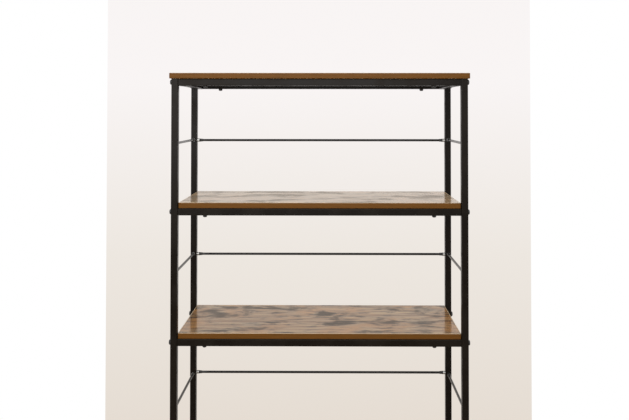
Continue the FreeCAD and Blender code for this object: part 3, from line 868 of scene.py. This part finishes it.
def add_paper(look):
    """Background paper seen only from the front, which throws no light and no shadow on the unit."""
    top, back = cad_box[1].z, cad_box[1].y + look.paper_gap
    start_object()
    bpy.ops.mesh.primitive_plane_add(size=look.paper_width, rotation=(math.pi / 2, 0, 0),
                                     location=(look.paper_shift, back, look.paper_width / 2))
    paper = bpy.context.object
    paper.name = "paper"
    start_edit()
    bpy.ops.mesh.select_all(action="SELECT")
    bpy.ops.transform.resize(value=(1, 1, look.paper_height / look.paper_width),
                             center_override=(0, back, 0))
    bpy.ops.object.mode_set(mode="OBJECT")
    paint = Shading(bpy.data.materials.new("paper"))
    # Painted light fall-off: the paper grows darker and warmer towards the floor
    height = paint.axis(paint.place(), "Z")
    low_half = paint.blend(paint.rise(height, 0, top / 2, "LINEAR"), look.paper_shaded_low, look.paper_lit_middle)
    whole = paint.blend(paint.rise(height, top / 2, top, "LINEAR"), low_half, look.paper_lit_high)
    front = 1 - paint.node("ShaderNodeNewGeometry", output="Backfacing")
    paper.data.materials.append(paint.end(paint.node("ShaderNodeMixShader", inputs={
        0: front * paint.seen_directly(),
        1: paint.node("ShaderNodeBsdfTransparent"),
        2: paint.node("ShaderNodeEmission", inputs={"Color": whole, "Strength": 1})})))


def add_floor(look):
    """A pale floor with a faint mottle, which turns white like the room where it meets the paper."""
    start_object()
    bpy.ops.mesh.primitive_plane_add(size=look.floor_size)
    floor = bpy.context.object
    floor.name = "floor"
    paint = Shading(bpy.data.materials.new("floor"))
    place = paint.place()
    pale = paint.blend(paint.seen_directly(), look.floor, look.floor_seen)
    patches = paint.noise(place, [look.mottle_size] * 3, Detail=3)
    mottled = paint.blend(look.mottle * patches, pale, (0, 0, 0))
    back = cad_box[1].y
    fade = paint.rise(paint.axis(place, "Y"), back + look.paper_gap / 2, back + look.paper_gap)
    floor.data.materials.append(paint.end(paint.node("ShaderNodeMixShader", inputs={
        0: fade * paint.seen_directly(),
        1: paint.node("ShaderNodeBsdfPrincipled",
                      inputs={"Base Color": mottled, "Roughness": look.floor_roughness}),
        2: paint.node("ShaderNodeEmission", inputs={"Color": look.room_seen, "Strength": 1})})))


def add_light(look):
    """A softbox in front, and a room that is brightest behind the unit and looks white."""
    start_object()
    bpy.ops.object.light_add(type="AREA", location=look.key_place)
    key = bpy.context.object
    key.name = "key"
    key.data.energy = look.key_power
    key.data.size = look.key_size
    key.visible_camera = False
    aim = (cad_box[0] + cad_box[1]) / 2 - Vector(look.key_place)
    key.rotation_euler = aim.to_track_quat("-Z", "Y").to_euler()
    world = bpy.data.worlds.new("room")
    bpy.context.scene.world = world
    room = Shading(world)
    way = room.node("ShaderNodeTexCoord", output="Generated")
    light = room.blend(room.rise(room.axis(way, "Z"), *ROOM_ABOVE), look.room_low, look.room_high)
    light = room.blend(room.rise(room.axis(way, "Y"), *ROOM_BEHIND), light, look.room_back)
    room.end(room.node("ShaderNodeBackground", inputs={
        "Color": room.blend(room.seen_directly(), light, look.room_seen), "Strength": 1}),
        kind="ShaderNodeOutputWorld")


def add_camera(look):
    """The camera at the photograph's viewpoint, with its frame moved off the lens axis."""
    start_object()
    bpy.ops.object.camera_add(location=look.camera_place,
                              rotation=(math.pi / 2 + look.camera_tilt, look.camera_roll, look.camera_turn))
    camera = bpy.context.object
    camera.name = "camera"
    width, height = IMAGE_SIZE
    camera.data.sensor_width = SENSOR_WIDTH
    camera.data.lens = FOCAL_LENGTH / width * SENSOR_WIDTH
    camera.data.shift_x = (width / 2 - LENS_AXIS[0]) / width
    camera.data.shift_y = (LENS_AXIS[1] - height / 2) / width
    bpy.context.scene.camera = camera


class SHELF_PT_unit(Panel):
    """Settings and steps of the shelf unit"""
    bl_label = "Shelf unit"
    bl_space_type = "VIEW_3D"
    bl_region_type = "UI"
    bl_category = "Shelf unit"

    def draw(self, context):
        settings = context.scene.shelf_unit
        for name, group in settings.bl_rna.properties.items():
            if group.type != "POINTER":
                continue
            box = self.layout.box()
            box.label(text=group.name)
            looks = getattr(settings, name)
            for setting in looks.__annotations__:
                box.prop(looks, setting)
        for step in STEPS:
            self.layout.operator(step.bl_idname)


STEPS = (SHELF_OT_coat_frame, SHELF_OT_coat_rods, SHELF_OT_print_boards, SHELF_OT_band_boards,
         SHELF_OT_finish_rod_ends, SHELF_OT_blacken_fasteners, SHELF_OT_finish_plugs, SHELF_OT_weld_rails,
         SHELF_OT_mould_feet, SHELF_OT_thread_studs, SHELF_OT_set_stage)
GROUPS = (ShelfCoat, ShelfRod, ShelfBoard, ShelfBand, ShelfFittings, ShelfWeld, ShelfFoot, ShelfStage,
          ShelfUnit)
CLASSES = (*GROUPS, *STEPS, SHELF_PT_unit)


def register():
    for item in CLASSES:
        bpy.utils.register_class(item)
    bpy.types.Scene.shelf_unit = PointerProperty(type=ShelfUnit)


def unregister():
    del bpy.types.Scene.shelf_unit
    for item in reversed(CLASSES):
        bpy.utils.unregister_class(item)


def main():
    register()
    for step in STEPS:
        getattr(bpy.ops.shelf_unit, step.bl_idname.split(".")[1])()


if __name__ == "__main__":
    main()
